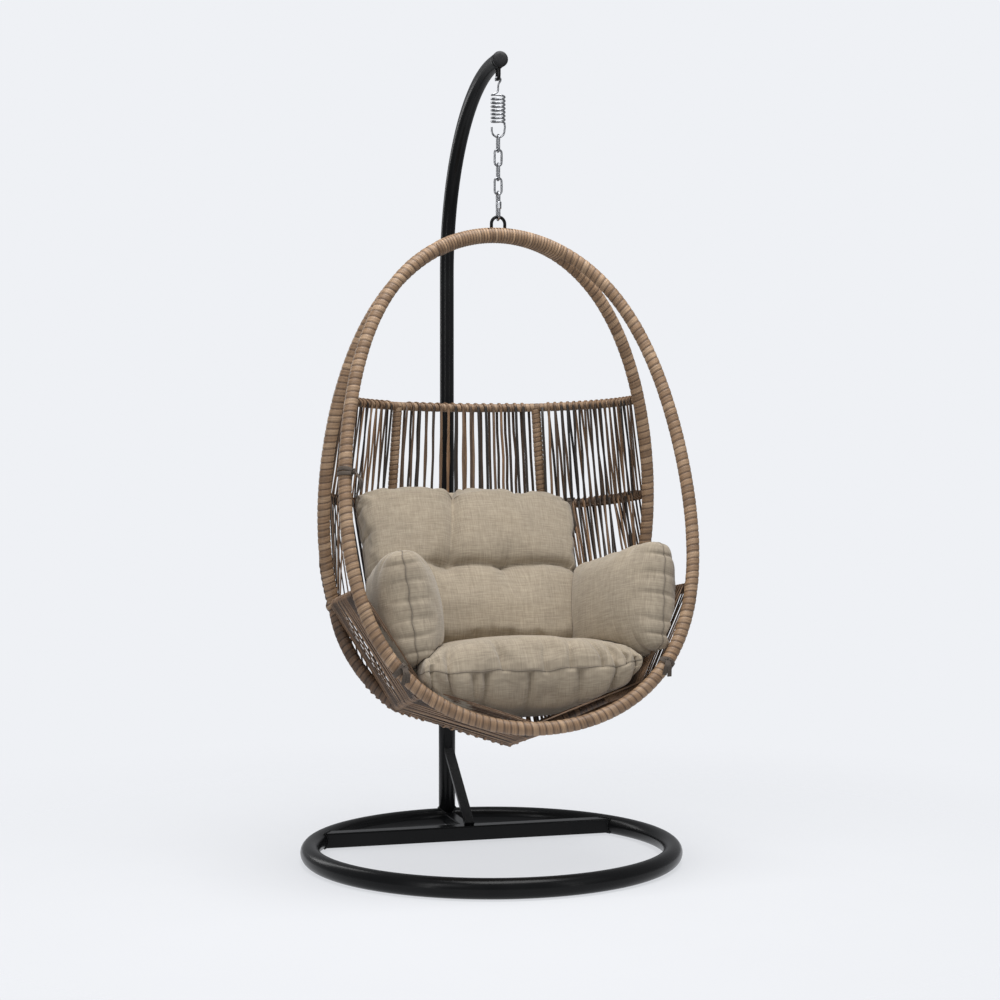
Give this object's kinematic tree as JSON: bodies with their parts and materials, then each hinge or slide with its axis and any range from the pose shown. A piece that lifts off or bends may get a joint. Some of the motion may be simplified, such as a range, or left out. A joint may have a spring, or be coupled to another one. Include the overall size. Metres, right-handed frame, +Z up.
{
  "type": "hanging egg chair",
  "caption": "Egg-shaped basket chair of wrapped steel tube and flat strand, with loose cushions, hung by a coil spring and chain from a ring-footed stand.",
  "frame": {"origin": "on the floor, at the centre of the base ring", "axes": "+Z up along the post; -Y is where the sitter faces; +X to the sitter's left"},
  "size_m": [0.95, 0.95, 1.9926],
  "materials": {
    "black_steel": "satin",
    "zinc": "satin",
    "frame_tube": "satin",
    "wicker": "matte",
    "dark_wicker": "matte",
    "black_plastic": "matte",
    "cushion_fabric": "matte",
    "tape": "matte"
  },
  "bodies": {
    "stand": {"base_ring": "black_steel", "cross_bar": "black_steel", "tie_bar": "black_steel", "lower_post": "black_steel", "upper_post_arm": "black_steel", "lock_bolt": "zinc", "post_brace": "black_steel", "arm_end_cap": "black_plastic", "arm_eye": "black_steel"},
    "spring": {"coil_spring": "zinc"},
    "upper_chain": {"chain_link_1": "zinc", "chain_link_2": "zinc"},
    "lower_chain": {"chain_link_3": "zinc", "chain_link_4": "zinc"},
    "basket": {"arm_cushion_left": "cushion_fabric", "arm_cushion_right": "cushion_fabric", "back_cushion": "cushion_fabric", "back_rib_left": "frame_tube", "back_rib_right": "frame_tube", "back_rib_wrap_left": "wicker", "back_rib_wrap_right": "wicker", "back_tie_left": "tape", "back_tie_right": "tape", "centre_rib": "frame_tube", "centre_rib_wrap": "dark_wicker", "corner_knob_left": "wicker", "corner_knob_right": "wicker", "corner_rib_left": "frame_tube", "corner_rib_right": "frame_tube", "crown_wrap": "wicker", "front_hoop_tube": "frame_tube", "front_hoop_wrap": "wicker", "lifting_eye": "black_steel", "lower_hoop_tube": "frame_tube", "lower_hoop_wrap": "dark_wicker", "lower_weave_centre": "dark_wicker", "lower_weave_left": "dark_wicker", "lower_weave_right": "dark_wicker", "middle_rail_tube": "frame_tube", "quick_link": "zinc", "quick_link_nut": "zinc", "rear_hoop_tube": "frame_tube", "rear_hoop_wrap_left": "wicker", "rear_hoop_wrap_right": "wicker", "saddle_plate": "black_steel", "seat_cushion": "cushion_fabric", "seat_tie_left": "tape", "seat_tie_right": "tape", "seat_weave_left": "dark_wicker", "seat_weave_right": "dark_wicker", "side_rib_left": "frame_tube", "side_rib_right": "frame_tube", "side_weave_left": "dark_wicker", "side_weave_right": "dark_wicker", "top_rail_tube": "frame_tube", "upper_weave_centre": "wicker", "upper_weave_left": "wicker", "upper_weave_right": "wicker"}
  },
  "joints": [
    {"name": "swing_fore_aft", "type": "hinge", "parent": "stand", "child": "spring", "pos_m": [0, -0.06, 1.9332], "axis": [1, 0, 0], "range_deg": [-14, 3]},
    {"name": "spring_bounce", "type": "slide", "parent": "spring", "child": "upper_chain", "axis": [0, 0, 1], "range_m": [-0.05, 0.005], "stiffness_N_per_m": 22000, "springref_m": 0.0053, "deforming": ["coil_spring"]},
    {"name": "swing_sideways", "type": "hinge", "parent": "upper_chain", "child": "lower_chain", "pos_m": [0, -0.06, 1.7212], "axis": [0, 1, 0], "range_deg": [-6, 6]},
    {"name": "basket_turn", "type": "hinge", "parent": "lower_chain", "child": "basket", "pos_m": [0, -0.06, 1.65], "axis": [0, 0, 1], "range_deg": [-30, 30]}
  ]
}
